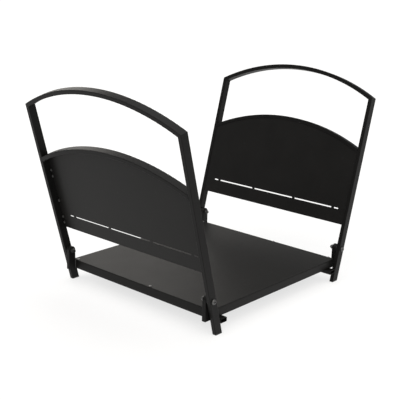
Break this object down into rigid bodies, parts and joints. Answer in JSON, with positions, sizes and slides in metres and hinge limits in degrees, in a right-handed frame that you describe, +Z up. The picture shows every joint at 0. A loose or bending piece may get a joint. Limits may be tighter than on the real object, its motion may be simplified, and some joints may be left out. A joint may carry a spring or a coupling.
{
  "type": "firewood rack",
  "caption": "Folding firewood rack in black powder-coated tube: tray base between two outward-leaning side frames with arched panels and bow handles.",
  "frame": {"origin": "on the floor under the middle of the rack, the middle of its four feet", "axes": "+X from the left side frame to the right one, +Y along the logs from front to back, +Z up"},
  "size_m": [0.7342, 0.4884, 0.5081],
  "materials": {
    "powder_coated_tube": "satin black powder coat, fine texture",
    "powder_coated_sheet": "satin black powder coat on sheet steel",
    "powder_coated_tray": "satin black powder coat on sheet steel",
    "zinc_fasteners": "dark zinc plate",
    "screws": "dull zinc plate",
    "black_plastic": "moulded, fine matt"
  },
  "bodies": {
    "base": {"left_front_post": "powder_coated_tube", "left_front_pivot_bolt": "zinc_fasteners", "left_front_pivot_spacer": "black_plastic", "left_front_nut_washer": "black_plastic", "left_front_pivot_nut": "zinc_fasteners", "left_back_post": "powder_coated_tube", "left_back_pivot_bolt": "zinc_fasteners", "left_back_pivot_spacer": "black_plastic", "left_back_nut_washer": "black_plastic", "left_back_pivot_nut": "zinc_fasteners", "left_rail": "powder_coated_tube", "right_front_post": "powder_coated_tube", "right_front_pivot_bolt": "zinc_fasteners", "right_front_pivot_spacer": "black_plastic", "right_front_nut_washer": "black_plastic", "right_front_pivot_nut": "zinc_fasteners", "right_back_post": "powder_coated_tube", "right_back_pivot_bolt": "zinc_fasteners", "right_back_pivot_spacer": "black_plastic", "right_back_nut_washer": "black_plastic", "right_back_pivot_nut": "zinc_fasteners", "right_rail": "powder_coated_tube", "front_rail": "powder_coated_tube", "back_rail": "powder_coated_tube", "tray": "powder_coated_tray", "tray_screws": "screws"},
    "left_frame": {"left_front_leg": "powder_coated_tube", "left_front_foot_cap": "black_plastic", "left_back_leg": "powder_coated_tube", "left_back_foot_cap": "black_plastic", "left_bow": "powder_coated_tube", "left_panel": "powder_coated_sheet", "left_panel_rim": "powder_coated_tube", "left_stop_bar": "powder_coated_tube"},
    "right_frame": {"right_front_leg": "powder_coated_tube", "right_front_foot_cap": "black_plastic", "right_back_leg": "powder_coated_tube", "right_back_foot_cap": "black_plastic", "right_bow": "powder_coated_tube", "right_panel": "powder_coated_sheet", "right_panel_rim": "powder_coated_tube", "right_stop_bar": "powder_coated_tube"}
  },
  "joints": [
    {"name": "left_fold", "type": "hinge", "parent": "base", "child": "left_frame", "pos_m": [-0.24358, 0, 0.08], "axis": [0, 1, 0], "range_deg": [0, 105]},
    {"name": "right_fold", "type": "hinge", "parent": "base", "child": "right_frame", "pos_m": [0.24358, 0, 0.08], "axis": [0, -1, 0], "range_deg": [0, 85]}
  ]
}
